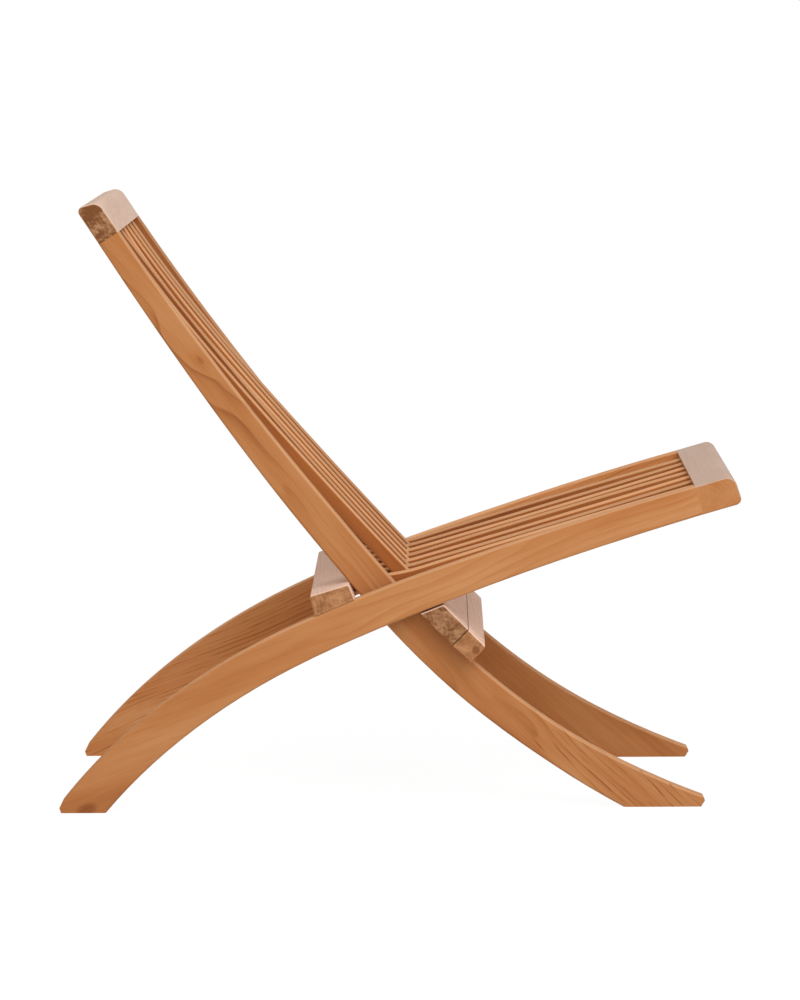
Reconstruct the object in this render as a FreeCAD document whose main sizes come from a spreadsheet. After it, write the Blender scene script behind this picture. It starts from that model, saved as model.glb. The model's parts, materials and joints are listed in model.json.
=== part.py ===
import FreeCAD, Part
import math
import os

# Low folding lounge chair of solid teak: two slatted frames that cross like a pair of scissors.
# The seat frame runs from the nose down to the rear feet, the back frame from the top cap down to the
# front feet. +X is the way the sitter faces, +Z is up, and -Y is the chair's right side. The origin is on
# the floor under the middle of the open chair.

# lengths in millimetres, angles in degrees against the floor
SIZES = (
    # across the chair: every rail and slat has a lane of its own
    ("member_thickness", 25.0),
    ("lane_gap", 4.5),
    ("seat_slat_count", 7),
    ("slat_depth", 17.0),
    ("arris_round", 3.0),
    ("slat_round", 2.5),
    # the pivot, and the gap left where the frames rest on each other
    ("pivot_height", 259.8),
    ("stop_gap", 0.3),
    # seat frame, lengths along its centre line from the pivot
    ("seat_angle", 21.0),
    ("nose_angle", 16.0),
    ("knee_angle", 27.3),
    ("heel_angle", 50.6),
    ("seat_front_length", 407.2),
    ("seat_taper_length", 155.0),
    ("knee_length", 167.0),
    ("leg_taper_length", 376.0),
    ("seat_depth_nose", 36.2),
    ("seat_depth_front", 40.1),
    ("seat_depth_pivot", 44.8),
    ("seat_depth_heel", 51.0),
    ("heel_height", 15.6),
    ("heel_bulge", 4.7),
    # nose across the front of the seat
    ("nose_length", 51.2),
    ("nose_lean", 1.4),
    ("nose_round", 6.5),
    # back frame, lengths along its centre line from the pivot
    ("back_angle", 49.1),
    ("top_angle", 56.7),
    ("toe_angle", 23.8),
    ("back_length", 574.0),
    ("back_taper_length", 150.0),
    ("shin_taper_length", 284.0),
    ("foot_taper_length", 200.0),
    ("back_depth_top", 29.2),
    ("back_depth_middle", 41.7),
    ("back_depth_pivot", 43.3),
    ("back_depth_shin", 44.8),
    ("back_depth_toe", 56.0),
    ("toe_height", 13.0),
    ("toe_bulge", 2.5),
    # cap across the top of the back
    ("cap_front_length", 45.0),
    ("cap_rear_length", 53.5),
    ("cap_round", 6.5),
    # block behind the back that carries the rear ends of the seat slats
    ("rear_block_length", 53.5),
    ("rear_block_front_height", 20.5),
    ("rear_block_rear_height", 25.8),
    ("rear_block_lean", 3.6),
    # two planks side by side on the back frame, under the seat
    ("plank_gap", 2.5),
    ("upper_plank_length", 57.0),
    ("upper_plank_thickness", 28.0),
    ("lower_plank_length", 32.5),
    ("lower_plank_thickness", 26.6),
    ("block_round", 2.5),
    # seat slats: how far their faces lie below their neighbours, and the bend near the pivot
    ("seat_slat_recess", 5.2),
    ("seat_slat_rear_recess", 0.8),
    ("seat_bend_reach", 17.5),
    ("seat_bend_rise", 33.7),
    ("seat_bend_length", 21.0),
    ("seat_slat_set", 1.2),
    # back slats: recess under the cap, the middle knot, the hollow of each stretch, and the landing
    ("back_slat_recess", 5.2),
    ("back_knot_reach", 109.5),
    ("back_knot_rise", 179.2),
    ("upper_hollow", 6.2),
    ("lower_hollow", 1.3),
    ("back_slat_landing", 21.2),
    # hidden dowels
    ("dowel_radius", 4.0),
    ("dowel_length", 28.0),
    # pivot hardware on each side, and the play of glued and of turning fits
    ("fixed_play", 0.05),
    ("running_play", 0.06),
    ("bolt_radius", 5.0),
    ("bolt_head_radius", 9.0),
    ("bolt_head_height", 5.5),
    ("bolt_tip_gap", 1.0),
    ("socket_radius", 3.4),
    ("socket_depth", 3.0),
    ("sleeve_radius", 7.0),
    ("insert_radius", 7.5),
    ("insert_length", 17.0),
    ("washer_radius", 12.0),
    ("washer_bore_play", 0.3),
    ("washer_play", 0.2),
)

# how far each back slat's upper stretch has set towards the sitter
BACK_SLAT_SET = (0.0, 2.4, -1.8, 0.0, 0.4, 0.2)

doc = FreeCAD.newDocument("folding_chair")
sheet = doc.addObject("Spreadsheet::Sheet", "sizes")
for row, (alias, value) in enumerate(SIZES, start=1):
    sheet.set("A%d" % row, alias.replace("_", " "))
    sheet.set("B%d" % row, str(value))
    sheet.setAlias("B%d" % row, alias)
doc.recompute()


def size(alias):
    return float(getattr(sheet, alias))


# lanes, counted from the chair's right side
SLATS = int(size("seat_slat_count"))
LAST_LANE = 2 * SLATS + 2
SEAT_RAILS = {"seat_rail_right": 0, "seat_rail_left": LAST_LANE}
BACK_RAILS = {"back_rail_right": 1, "back_rail_left": LAST_LANE - 1}
SEAT_SLATS = {"seat_slat_%d" % (i + 1): 2 * i + 2 for i in range(SLATS)}
BACK_SLATS = {"back_slat_%d" % (i + 1): 2 * i + 3 for i in range(SLATS - 1)}
THICK = size("member_thickness")
PITCH = THICK + size("lane_gap")
STOP = size("stop_gap")
FLOOR = -size("pivot_height")


def lane_y(lane):
    return (lane - LAST_LANE / 2) * PITCH


# geometry of the side view: (forward, up) from the pivot
def add(p, q, scale=1.0):
    return (p[0] + scale * q[0], p[1] + scale * q[1])


def left_of(d):
    return (-d[1], d[0])


def back_of(d):
    return (-d[0], -d[1])


def unit(p, q):
    length = math.hypot(q[0] - p[0], q[1] - p[1])
    return ((q[0] - p[0]) / length, (q[1] - p[1]) / length)


def middle(p, q):
    return ((p[0] + q[0]) / 2, (p[1] + q[1]) / 2)


def crossing(p, d, q, e):
    """Where the line through p along d meets the line through q along e."""
    det = d[0] * e[1] - d[1] * e[0]
    return add(p, d, ((q[0] - p[0]) * e[1] - (q[1] - p[1]) * e[0]) / det)


def solve(function, low, high):
    """Where a function that changes sign between low and high is zero."""
    rising = function(high) > function(low)
    for _ in range(60):
        mid = (low + high) / 2
        if (function(mid) > 0) == rising:
            high = mid
        else:
            low = mid
    return (low + high) / 2


class Rail:
    """A curved rail: tangent arcs through the pivot, and the rail's depth at a few stations.

    Stations count from the pivot, positive the way the angle points. Each arc has a length and a turn
    per length; the last one on each side runs on."""

    def __init__(self, angle, ahead, behind, depths):
        self.angle = math.radians(angle)
        self.ahead = ahead
        self.behind = behind
        self.depths = depths

    def place(self, station):
        """Point and direction of the centre line."""
        x, z, a = 0.0, 0.0, self.angle
        sign = 1 if station >= 0 else -1
        left = abs(station)
        arcs = self.ahead if station >= 0 else self.behind
        for number, (length, turn) in enumerate(arcs):
            step = left if number == len(arcs) - 1 else min(left, length)
            half = turn * step / 2
            chord = step * (math.sin(half) / half if half else 1)
            x += sign * chord * math.cos(a + sign * half)
            z += sign * chord * math.sin(a + sign * half)
            a += 2 * sign * half
            left -= step
        return (x, z), (math.cos(a), math.sin(a))

    def depth(self, station):
        stations = self.depths
        if station <= stations[0][0]:
            return stations[0][1]
        for (s0, d0), (s1, d1) in zip(stations, stations[1:]):
            if station <= s1:
                return d0 + (d1 - d0) * (station - s0) / (s1 - s0)
        return stations[-1][1]

    def edge(self, station, side):
        """Point of the upper (side 1) or lower (side -1) edge."""
        point, along = self.place(station)
        return add(point, left_of(along), side * self.depth(station) / 2)

    def at_height(self, side, height, low, high):
        """Station where an edge has the given height."""
        return solve(lambda station: self.edge(station, side)[1] - height, low, high)

    def under(self, side, x, low, high):
        """Station where an edge is as far forward as x."""
        return solve(lambda station: self.edge(station, side)[0] - x, low, high)

    def curve(self, side, stations):
        """Points of an edge: one at each station and one half way to the next."""
        points = [self.edge(stations[0], side)]
        for start, end in zip(stations, stations[1:]):
            points += [self.edge((start + end) / 2, side), self.edge(end, side)]
        return points


def turn_between(angle, end_angle, length):
    return math.radians(end_angle - angle) / length


def turn_to_depth(angle, end_angle, drop):
    """Turn per length of an arc that falls by drop while its slope goes from one angle to another."""
    return (math.cos(math.radians(angle)) - math.cos(math.radians(end_angle))) / drop


SEAT_END = size("seat_front_length")
KNEE = -size("knee_length")
BACK_END = -size("back_length")
seat = Rail(
    size("seat_angle"),
    [(SEAT_END, turn_between(size("seat_angle"), size("nose_angle"), SEAT_END))],
    [(-KNEE, -turn_between(size("seat_angle"), size("knee_angle"), -KNEE))],
    [
        (-size("leg_taper_length"), size("seat_depth_heel")),
        (0, size("seat_depth_pivot")),
        (size("seat_taper_length"), size("seat_depth_front")),
        (SEAT_END, size("seat_depth_nose")),
    ],
)
knee_drop = seat.place(KNEE)[0][1] - FLOOR
seat.behind.append((0, -turn_to_depth(size("knee_angle"), size("heel_angle"), knee_drop)))
shin_turn = -turn_to_depth(size("back_angle"), size("toe_angle"), -FLOOR)
back = Rail(
    -size("back_angle"),
    [(0, shin_turn)],
    [(0, turn_between(size("back_angle"), size("top_angle"), -BACK_END))],
    [
        (BACK_END, size("back_depth_top")),
        (-size("back_taper_length"), size("back_depth_middle")),
        (0, size("back_depth_pivot")),
        (size("shin_taper_length"), size("back_depth_shin")),
        (size("shin_taper_length") + size("foot_taper_length"), size("back_depth_toe")),
    ],
)

# rear feet: the seat rails are cut level on the floor, with a blunted heel
LEG_LIMIT = KNEE + 4 * FLOOR
heel_station = seat.at_height(1, FLOOR + size("heel_height"), LEG_LIMIT, 0)
rear_ball_station = seat.at_height(-1, FLOOR, LEG_LIMIT, 0)
heel_top = seat.edge(heel_station, 1)
heel = add(heel_top, (-size("heel_bulge"), -0.6 * size("heel_height")))
heel_sole = add(heel_top, (-0.5 * size("heel_bulge"), -size("heel_height")))
rear_ball = seat.edge(rear_ball_station, -1)

# front feet: the same on the back rails, with a blunted toe
SHIN_LIMIT = math.radians(size("back_angle")) / shin_turn
toe_station = back.at_height(1, FLOOR + size("toe_height"), 0, SHIN_LIMIT)
front_ball_station = back.at_height(-1, FLOOR, 0, SHIN_LIMIT)
toe_top = back.edge(toe_station, 1)
toe = add(toe_top, (size("toe_bulge"), -0.4 * size("toe_height")))
toe_sole = add(toe_top, (-size("toe_bulge"), -size("toe_height")))
front_ball = back.edge(front_ball_station, -1)

def rounded(before, corner, after, reach):
    """Start, middle and end of the arc that rounds a corner from reach before it to reach after it."""
    start = add(corner, unit(corner, before), reach)
    end = add(corner, unit(corner, after), reach)
    half_chord = math.dist(start, end) / 2
    radius = half_chord * reach / math.sqrt(reach ** 2 - half_chord ** 2)
    depth = math.hypot(radius, reach) - radius
    return start, add(corner, unit(corner, middle(start, end)), depth), end


# nose: carries the outline of the seat rails round the front
nose_along = seat.place(SEAT_END)[1]
nose_up = left_of(nose_along)
nose_top_joint = seat.edge(SEAT_END, 1)
nose_low_joint = seat.edge(SEAT_END, -1)
nose_round = size("nose_round")


def nose_point(forward, up):
    return add(add(nose_low_joint, nose_along, size("nose_length") - forward), nose_up, up)


nose_top_front = nose_point(size("nose_lean"), size("seat_depth_nose"))
nose_tip, nose_chin, nose_low_front = rounded(nose_top_front, nose_point(0, 0), nose_low_joint, nose_round)

# cap
cap_up = back_of(back.place(BACK_END)[1])
cap_low_front = back.edge(BACK_END, 1)
cap_low_rear = back.edge(BACK_END, -1)
cap_top_front = add(cap_low_front, cap_up, size("cap_front_length"))
cap_top_rear = add(cap_low_rear, cap_up, size("cap_rear_length"))


def curve_through(points):
    """Line, arc or smooth curve through places in a plane."""
    if len(points) > 3:
        curve = Part.BSplineCurve()
        curve.interpolate(points)
        return curve
    bulge = points[1].distanceToLine(points[0], points[-1] - points[0]) if len(points) == 3 else 0
    return Part.Arc(*points) if bulge > 0.01 else Part.LineSegment(points[0], points[-1])


seat_top_edge = seat.curve(1, [SEAT_END, size("seat_taper_length"), 0, KNEE, heel_station])
back_top_edge = back.curve(1, [BACK_END, -size("back_taper_length"), 0, size("shin_taper_length"), toe_station])


def seat_on(edge, low, high):
    """Ends of a flat face from low to high, lifted until it clears the bulge of a smooth edge."""
    along = unit(low, high)
    off = left_of(along)
    length = math.dist(low, high)
    lift = 0
    for place in curve_through([FreeCAD.Vector(p[0], p[1], 0) for p in edge]).discretize(400):
        reach = ((place.x - low[0]) * along[0] + (place.y - low[1]) * along[1]) / length
        if 0 < reach < 1:
            lift = max(lift, (place.x - low[0]) * off[0] + (place.y - low[1]) * off[1])
    lift += size("fixed_play")
    return add(low, off, lift), add(high, off, lift)


def on_seat_rails(start, end):
    return seat_on(seat_top_edge, seat.edge(start, 1), seat.edge(end, 1))


def on_back_rails(start, end):
    return seat_on(back_top_edge, back.edge(start, 1), back.edge(end, 1))


# rear block: lies on the seat rails, its rounded front arris just clear of the back rails
def rear_block_corners(station):
    low_rear, low_front = on_seat_rails(station - size("rear_block_length"), station)
    up = left_of(unit(low_rear, low_front))
    top_front = add(low_front, up, size("rear_block_front_height"))
    top_rear = add(low_rear, up, size("rear_block_rear_height"))
    top_rear = add(top_rear, unit(low_rear, low_front), size("rear_block_lean"))
    return low_rear, low_front, top_front, top_rear


def rear_block_gap(station):
    low_rear, low_front, top_front, top_rear = rear_block_corners(station)
    inward = add(unit(top_front, top_rear), unit(top_front, low_front))
    centre = add(top_front, inward, size("block_round"))
    back_station = back.at_height(-1, centre[1], BACK_END, SHIN_LIMIT / 2)
    steepness = abs(back.place(back_station)[1][1])
    forward = back.edge(back_station, -1)[0] - centre[0]
    return forward * steepness - size("block_round") - STOP


block_station = solve(rear_block_gap, KNEE, 0)
block_low_rear, block_low_front, block_top_front, block_top_rear = rear_block_corners(block_station)
block_up = unit(block_low_front, block_top_front)


# upper plank: lies on the back rails, its top end cut to follow the seat rails just below them
def seat_underside(x):
    return seat.under(-1, x, KNEE, SEAT_END)


def upper_plank_gap(station):
    corner = on_back_rails(station, station + size("upper_plank_length"))[0]
    return seat.edge(seat_underside(corner[0]), -1)[1] - corner[1] - size("plank_gap")


plank_station = solve(upper_plank_gap, 0, SHIN_LIMIT / 2)
plank_joint_station = plank_station + size("upper_plank_length")
plank_end_station = plank_joint_station + size("lower_plank_length")
plank_start, plank_joint = on_back_rails(plank_station, plank_joint_station)
plank_end = on_back_rails(plank_joint_station, plank_end_station)[1]
rest_station = seat_underside(plank_start[0])
rest_along = unit(seat.edge(rest_station, -1), seat.edge(rest_station + size("upper_plank_thickness"), -1))
upper_along = unit(plank_start, plank_joint)
upper_off = left_of(upper_along)
plank_joint_top = add(plank_joint, upper_off, size("upper_plank_thickness"))
plank_rest_front = crossing(plank_start, rest_along, plank_joint_top, upper_along)
lower_off = left_of(unit(plank_joint, plank_end))
plank_end_top = add(plank_end, lower_off, size("lower_plank_thickness"))


# an outline is a closed list of lines (two points), arcs (three) and smooth curves (more)
def arcs(points):
    return [points[i:i + 3] for i in range(0, len(points) - 2, 2)]


def smooth(points):
    return [points]


def polygon(*points):
    return list(zip(points, points[1:] + points[:1]))


def slat_outline(face, start_cut, end_cut, parts):
    """A slat below its upper face, between two cut ends given as directions down from that face.

    Parts turns the points of a face into lines and curves."""
    depth = size("slat_depth")
    under = []
    for i, point in enumerate(face):
        off = left_of(unit(face[max(i - 1, 0)], face[min(i + 1, len(face) - 1)]))
        down = back_of(off)
        if i == 0:
            down = start_cut
        if i == len(face) - 1:
            down = end_cut
        under.append(add(point, down, depth / abs(down[0] * off[0] + down[1] * off[1])))
    return parts(face) + [(face[-1], under[-1])] + parts(under[::-1]) + [(under[0], face[0])]


seat_rail_outline = [
    seat_top_edge,
    (heel_top, heel),
    (heel, heel_sole),
    (heel_sole, rear_ball),
    seat.curve(-1, [rear_ball_station, KNEE, 0, size("seat_taper_length"), SEAT_END]),
    (nose_low_joint, nose_top_joint),
]
back_rail_outline = [
    back_top_edge,
    (toe_top, toe),
    (toe, toe_sole),
    (toe_sole, front_ball),
    back.curve(-1, [front_ball_station, size("shin_taper_length"), 0, -size("back_taper_length"), BACK_END]),
    (cap_low_rear, cap_low_front),
]
nose_outline = [
    (nose_low_joint, nose_low_front),
    (nose_low_front, nose_chin, nose_tip),
    (nose_tip, nose_top_front),
    (nose_top_front, nose_top_joint),
    (nose_top_joint, nose_low_joint),
]
cap_outline = polygon(cap_low_rear, cap_low_front, cap_top_front, cap_top_rear)
rear_block_outline = polygon(block_low_rear, block_low_front, block_top_front, block_top_rear)
upper_plank_outline = polygon(plank_start, plank_joint, plank_joint_top, plank_rest_front)
lower_plank_outline = polygon(plank_joint, plank_end, plank_end_top, plank_joint_top)

# seat slats: from the rear block, round a bend near the pivot, to the nose
seat_bend = (size("seat_bend_reach"), size("seat_bend_rise"))
slat_rear = add(block_top_front, block_up, -size("seat_slat_rear_recess"))
slat_front = add(nose_top_joint, nose_up, -size("seat_slat_recess"))
bend_start = add(seat_bend, unit(seat_bend, slat_rear), size("seat_bend_length"))
bend_end = add(seat_bend, unit(seat_bend, slat_front), size("seat_bend_length"))
bend_middle = middle(seat_bend, middle(bend_start, bend_end))


def seat_slat_outline(number):
    rise = size("seat_slat_set") * math.cos(2 * math.pi * (number - 4) / 3)
    crown = add(middle(bend_end, slat_front), left_of(unit(bend_end, slat_front)), rise)
    face = [slat_rear, middle(slat_rear, bend_start), bend_start, bend_middle, bend_end, crown, slat_front]
    return slat_outline(face, back_of(block_up), back_of(nose_up), arcs)


# back slats: from the cap, in a hollow curve, past the pivot's front to the upper plank
back_knot = (-size("back_knot_reach"), size("back_knot_rise"))
slat_top = add(cap_low_front, unit(cap_low_front, cap_low_rear), size("back_slat_recess"))
slat_foot = add(plank_start, rest_along, size("back_slat_landing"))


def back_slat_outline(number):
    forward = BACK_SLAT_SET[(number - 1) % len(BACK_SLAT_SET)] - size("upper_hollow")
    upper = add(middle(slat_top, back_knot), left_of(unit(slat_top, back_knot)), forward)
    lower = add(middle(back_knot, slat_foot), left_of(unit(back_knot, slat_foot)), -size("lower_hollow"))
    face = [slat_top, upper, back_knot, lower, slat_foot]
    return slat_outline(face, unit(cap_low_front, cap_low_rear), back_of(rest_along), smooth)


# the open chair stands with the middle of its length over the origin
def outline_box(outline):
    box = FreeCAD.BoundBox()
    for points in outline:
        curve = curve_through([FreeCAD.Vector(p[0], p[1], 0) for p in points])
        box.add(curve.toShape().BoundBox)
    return box


PIVOT_X = -(outline_box(seat_rail_outline).XMin + outline_box(nose_outline).XMax) / 2


def in_space(point, y=0.0):
    return FreeCAD.Vector(PIVOT_X + point[0], y, point[1] - FLOOR)


def direction_in_space(along):
    return FreeCAD.Vector(along[0], 0, along[1])


NODES = []


def finished(name, piece):
    piece.Label = name
    NODES.append(piece)
    return piece


def outline_sketch(body, name, outline):
    sketch = body.newObject("Sketcher::SketchObject", name)
    plane = [f for f in body.Origin.OriginFeatures if f.Role == "XZ_Plane"][0]
    sketch.AttachmentSupport = [(plane, "")]
    sketch.MapMode = "FlatFace"
    for points in outline:
        sketch.addGeometry(curve_through([FreeCAD.Vector(PIVOT_X + p[0], p[1] - FLOOR, 0) for p in points]))
    return sketch


def on_line(place, p, q):
    """Whether a place lies between p and q in the side view."""
    a = in_space(p)
    b = in_space(q)
    flat = FreeCAD.Vector(place.x, 0, place.z)
    return (flat - a).Length + (flat - b).Length < (b - a).Length + 0.05


def arrises(shape, sharp, corners):
    """Edges along both side faces, except on the sharp lines, and edges that cross at the corners."""
    names = []
    for number, edge in enumerate(shape.Edges, start=1):
        start = edge.Vertexes[0].Point
        end = edge.Vertexes[-1].Point
        place = edge.valueAt((edge.FirstParameter + edge.LastParameter) / 2)
        if abs(start.y - end.y) > 0.01:
            wanted = any(on_line(place, corner, corner) for corner in corners)
        else:
            wanted = not any(on_line(place, p, q) for p, q in sharp)
        if wanted:
            names.append("Edge%d" % number)
    return names


def sawn(name, outline, first, last, radius, sharp, corners=()):
    """A piece sawn to an outline, filling the lanes first to last, its arrises rounded."""
    body = doc.addObject("PartDesign::Body", name)
    sketch = outline_sketch(body, name + "_outline", outline)
    centre = (first + last - LAST_LANE) / 2
    sketch.setExpression(".AttachmentOffset.Base.z", "-(%s) * (sizes.member_thickness + sizes.lane_gap)" % centre)
    pad = body.newObject("PartDesign::Pad", name + "_pad")
    pad.Profile = sketch
    pad.SideType = "Symmetric"
    pad.setExpression(
        "Length", "%d * (sizes.member_thickness + sizes.lane_gap) + sizes.member_thickness" % (last - first))
    doc.recompute()
    rounding = body.newObject("PartDesign::Fillet", name + "_rounding")
    rounding.Base = (pad, arrises(pad.Shape, sharp, corners))
    rounding.setExpression("Radius", "sizes." + radius)
    doc.recompute()
    return body


def cylinder(name, radius, length, start, direction):
    """A round bar; its radius and length are expressions of the sheet."""
    bar = doc.addObject("Part::Cylinder", name)
    bar.setExpression("Radius", radius)
    bar.setExpression("Height", length)
    bar.Placement = FreeCAD.Placement(start, FreeCAD.Rotation(FreeCAD.Vector(0, 0, 1), direction))
    return bar


def less(name, base, tool):
    result = doc.addObject("Part::Cut", name)
    result.Base = base
    result.Tool = tool
    return result


def compound(name, pieces):
    group = doc.addObject("Part::Compound", name)
    group.Links = pieces
    return group


HOLES = {}


def hole_in(piece, radius, length, start, direction):
    holes = HOLES.setdefault(piece, [])
    holes.append(cylinder("%s_hole_%d" % (piece, len(holes) + 1), radius, length, start, direction))


def dowels(name, places):
    """Dowels of one joint group, each with its hole in the two pieces that it joins.

    A place is the joint's point, the dowel's direction, the lane and the two pieces' names."""
    bars = []
    for number, (point, along, lane, pieces) in enumerate(places, start=1):
        direction = direction_in_space(along)
        start = in_space(point, lane_y(lane)) - direction * (size("dowel_length") / 2)
        bars.append(cylinder("%s_%d" % (name, number), "sizes.dowel_radius", "sizes.dowel_length",
                             start, direction))
        for piece in pieces:
            hole_in(piece, "sizes.dowel_radius + sizes.fixed_play", "sizes.dowel_length + 2 * sizes.fixed_play",
                    start - direction * size("fixed_play"), direction)
    finished(name, compound(name, bars))


def half_slat_below(point, down):
    return add(point, down, size("slat_depth") / 2)


nose_joint = middle(nose_top_joint, nose_low_joint)
nose_slat_joint = half_slat_below(slat_front, back_of(nose_up))
dowels("nose_dowels",
       [(nose_joint, nose_along, lane, (rail, "seat_nose")) for rail, lane in SEAT_RAILS.items()]
       + [(nose_slat_joint, nose_along, lane, (slat, "seat_nose")) for slat, lane in SEAT_SLATS.items()])

block_joint = middle(block_low_rear, block_low_front)
block_slat_joint = half_slat_below(slat_rear, back_of(block_up))
slat_rear_along = unit(slat_rear, bend_start)
dowels("rear_block_dowels",
       [(block_joint, block_up, lane, (rail, "seat_rear_block")) for rail, lane in SEAT_RAILS.items()]
       + [(block_slat_joint, slat_rear_along, lane, (slat, "seat_rear_block"))
          for slat, lane in SEAT_SLATS.items()])

cap_joint = middle(cap_low_front, cap_low_rear)
cap_slat_joint = half_slat_below(slat_top, unit(cap_low_front, cap_low_rear))
dowels("cap_dowels",
       [(cap_joint, cap_up, lane, (rail, "back_top_cap")) for rail, lane in BACK_RAILS.items()]
       + [(cap_slat_joint, cap_up, lane, (slat, "back_top_cap")) for slat, lane in BACK_SLATS.items()])

slat_foot_joint = half_slat_below(slat_foot, back_of(rest_along))
slat_foot_along = unit(back_knot, slat_foot)
upper_plank_joint = middle(plank_start, plank_joint)
lower_plank_joint = middle(plank_joint, plank_end)
dowels("support_dowels",
       [(upper_plank_joint, upper_off, lane, (rail, "support_plank_upper")) for rail, lane in BACK_RAILS.items()]
       + [(lower_plank_joint, lower_off, lane, (rail, "support_plank_lower"))
          for rail, lane in BACK_RAILS.items()]
       + [(slat_foot_joint, slat_foot_along, lane, (slat, "support_plank_upper"))
          for slat, lane in BACK_SLATS.items()])


def on_axis(y):
    return in_space((0, 0), y)


def pivot(side, inward):
    """Bolt, insert, washer and sleeve between a seat rail and the back rail inside it."""
    inner = FreeCAD.Vector(0, inward, 0)
    outer = FreeCAD.Vector(0, -inward, 0)
    seat_face = -inward * (LAST_LANE / 2 * PITCH - THICK / 2)
    back_outer_face = seat_face + inward * size("lane_gap")
    back_inner_face = back_outer_face + inward * THICK
    head_face = back_inner_face + inward * STOP
    head_end = head_face + inward * size("bolt_head_height")

    shank = cylinder("bolt_shank_" + side, "sizes.bolt_radius",
                     "sizes.insert_length - sizes.bolt_tip_gap + sizes.lane_gap + sizes.member_thickness"
                     " + sizes.stop_gap", on_axis(head_face), outer)
    head = cylinder("bolt_head_" + side, "sizes.bolt_head_radius", "sizes.bolt_head_height",
                    on_axis(head_face), inner)
    solid = doc.addObject("Part::Fuse", "bolt_" + side)
    solid.Base = shank
    solid.Tool = head
    socket = doc.addObject("Part::Prism", "bolt_socket_" + side)
    socket.Polygon = 6
    socket.setExpression("Circumradius", "sizes.socket_radius")
    socket.setExpression("Height", "2 * sizes.socket_depth")
    socket.Placement = FreeCAD.Placement(on_axis(head_end - inward * size("socket_depth")),
                                         FreeCAD.Rotation(FreeCAD.Vector(0, 0, 1), inner))
    finished("pivot_bolt_" + side, less("pivot_bolt_" + side, solid, socket))

    shell = cylinder("insert_shell_" + side, "sizes.insert_radius", "sizes.insert_length",
                     on_axis(seat_face), outer)
    bore = cylinder("insert_bore_" + side, "sizes.bolt_radius + sizes.fixed_play", "sizes.insert_length",
                    on_axis(seat_face), outer)
    finished("pivot_insert_" + side, less("pivot_insert_" + side, shell, bore))
    hole_in("seat_rail_" + side, "sizes.insert_radius + sizes.fixed_play", "sizes.insert_length",
            on_axis(seat_face), outer)

    disc = cylinder("washer_disc_" + side, "sizes.washer_radius", "sizes.lane_gap - sizes.washer_play",
                    on_axis(seat_face), inner)
    eye = cylinder("washer_eye_" + side, "sizes.bolt_radius + sizes.washer_bore_play", "sizes.lane_gap",
                   on_axis(seat_face), inner)
    finished("pivot_washer_" + side, less("pivot_washer_" + side, disc, eye))

    tube = cylinder("sleeve_tube_" + side, "sizes.sleeve_radius", "sizes.member_thickness",
                    on_axis(back_outer_face), inner)
    way = cylinder("sleeve_way_" + side, "sizes.bolt_radius + sizes.running_play", "sizes.member_thickness",
                   on_axis(back_outer_face), inner)
    finished("pivot_sleeve_" + side, less("pivot_sleeve_" + side, tube, way))
    hole_in("back_rail_" + side, "sizes.sleeve_radius + sizes.fixed_play", "sizes.member_thickness",
            on_axis(back_outer_face), inner)


pivot("right", 1)
pivot("left", -1)


def drilled(name, blank):
    finished(name, less(name, blank, compound(name + "_holes", HOLES[name])))


for rail, lane in SEAT_RAILS.items():
    drilled(rail, sawn(rail + "_blank", seat_rail_outline, lane, lane, "arris_round",
                       seat_rail_outline[1:4] + seat_rail_outline[5:]))
for rail, lane in BACK_RAILS.items():
    drilled(rail, sawn(rail + "_blank", back_rail_outline, lane, lane, "arris_round",
                       back_rail_outline[1:4] + back_rail_outline[5:]))
for number, (slat, lane) in enumerate(SEAT_SLATS.items(), start=1):
    outline = seat_slat_outline(number)
    cuts = [points for points in outline if len(points) == 2]
    drilled(slat, sawn(slat + "_blank", outline, lane, lane, "slat_round", cuts))
for number, (slat, lane) in enumerate(BACK_SLATS.items(), start=1):
    outline = back_slat_outline(number)
    cuts = [points for points in outline if len(points) == 2]
    drilled(slat, sawn(slat + "_blank", outline, lane, lane, "slat_round", cuts))

drilled("seat_nose", sawn("seat_nose_blank", nose_outline, 0, LAST_LANE, "arris_round",
                          [(nose_low_joint, nose_top_joint)], [nose_top_front]))
drilled("seat_rear_block", sawn("seat_rear_block_blank", rear_block_outline, 0, LAST_LANE, "block_round",
                                [(block_low_rear, block_low_front)], [block_top_front, block_top_rear]))
drilled("back_top_cap", sawn("back_top_cap_blank", cap_outline, 1, LAST_LANE - 1, "cap_round",
                             [(cap_low_rear, cap_low_front)], [cap_top_front, cap_top_rear]))
drilled("support_plank_upper", sawn("support_plank_upper_blank", upper_plank_outline, 0, LAST_LANE,
                                    "block_round", [(plank_start, plank_joint), (plank_joint, plank_joint_top)],
                                    [plank_rest_front]))
drilled("support_plank_lower", sawn("support_plank_lower_blank", lower_plank_outline, 0, LAST_LANE,
                                    "block_round", [(plank_joint, plank_end), (plank_joint_top, plank_joint)],
                                    [plank_end_top]))

doc.recompute()
for item in doc.Objects:
    if "Invalid" in item.State or "Error" in item.State:
        raise RuntimeError("%s could not be made: %s" % (item.Name, item.State))
for node in NODES:
    if node.Shape.isNull() or not node.Shape.isValid():
        raise RuntimeError("%s has no valid shape" % node.Label)

whole = FreeCAD.BoundBox()
for node in NODES:
    whole.add(node.Shape.optimalBoundingBox(False, False))
print("pieces %d, box %.1f x %.1f x %.1f mm" % (len(NODES), whole.XLength, whole.YLength, whole.ZLength))
print("x %.2f to %.2f, y %.2f to %.2f, z %.2f to %.2f" % (
    whole.XMin, whole.XMax, whole.YMin, whole.YMax, whole.ZMin, whole.ZMax))
print("pivot at x %.3f z %.3f" % (PIVOT_X, -FLOOR))
print("rear sole x %.1f to %.1f, front sole x %.1f to %.1f" % (
    PIVOT_X + heel_sole[0], PIVOT_X + rear_ball[0], PIVOT_X + front_ball[0], PIVOT_X + toe_sole[0]))

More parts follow.
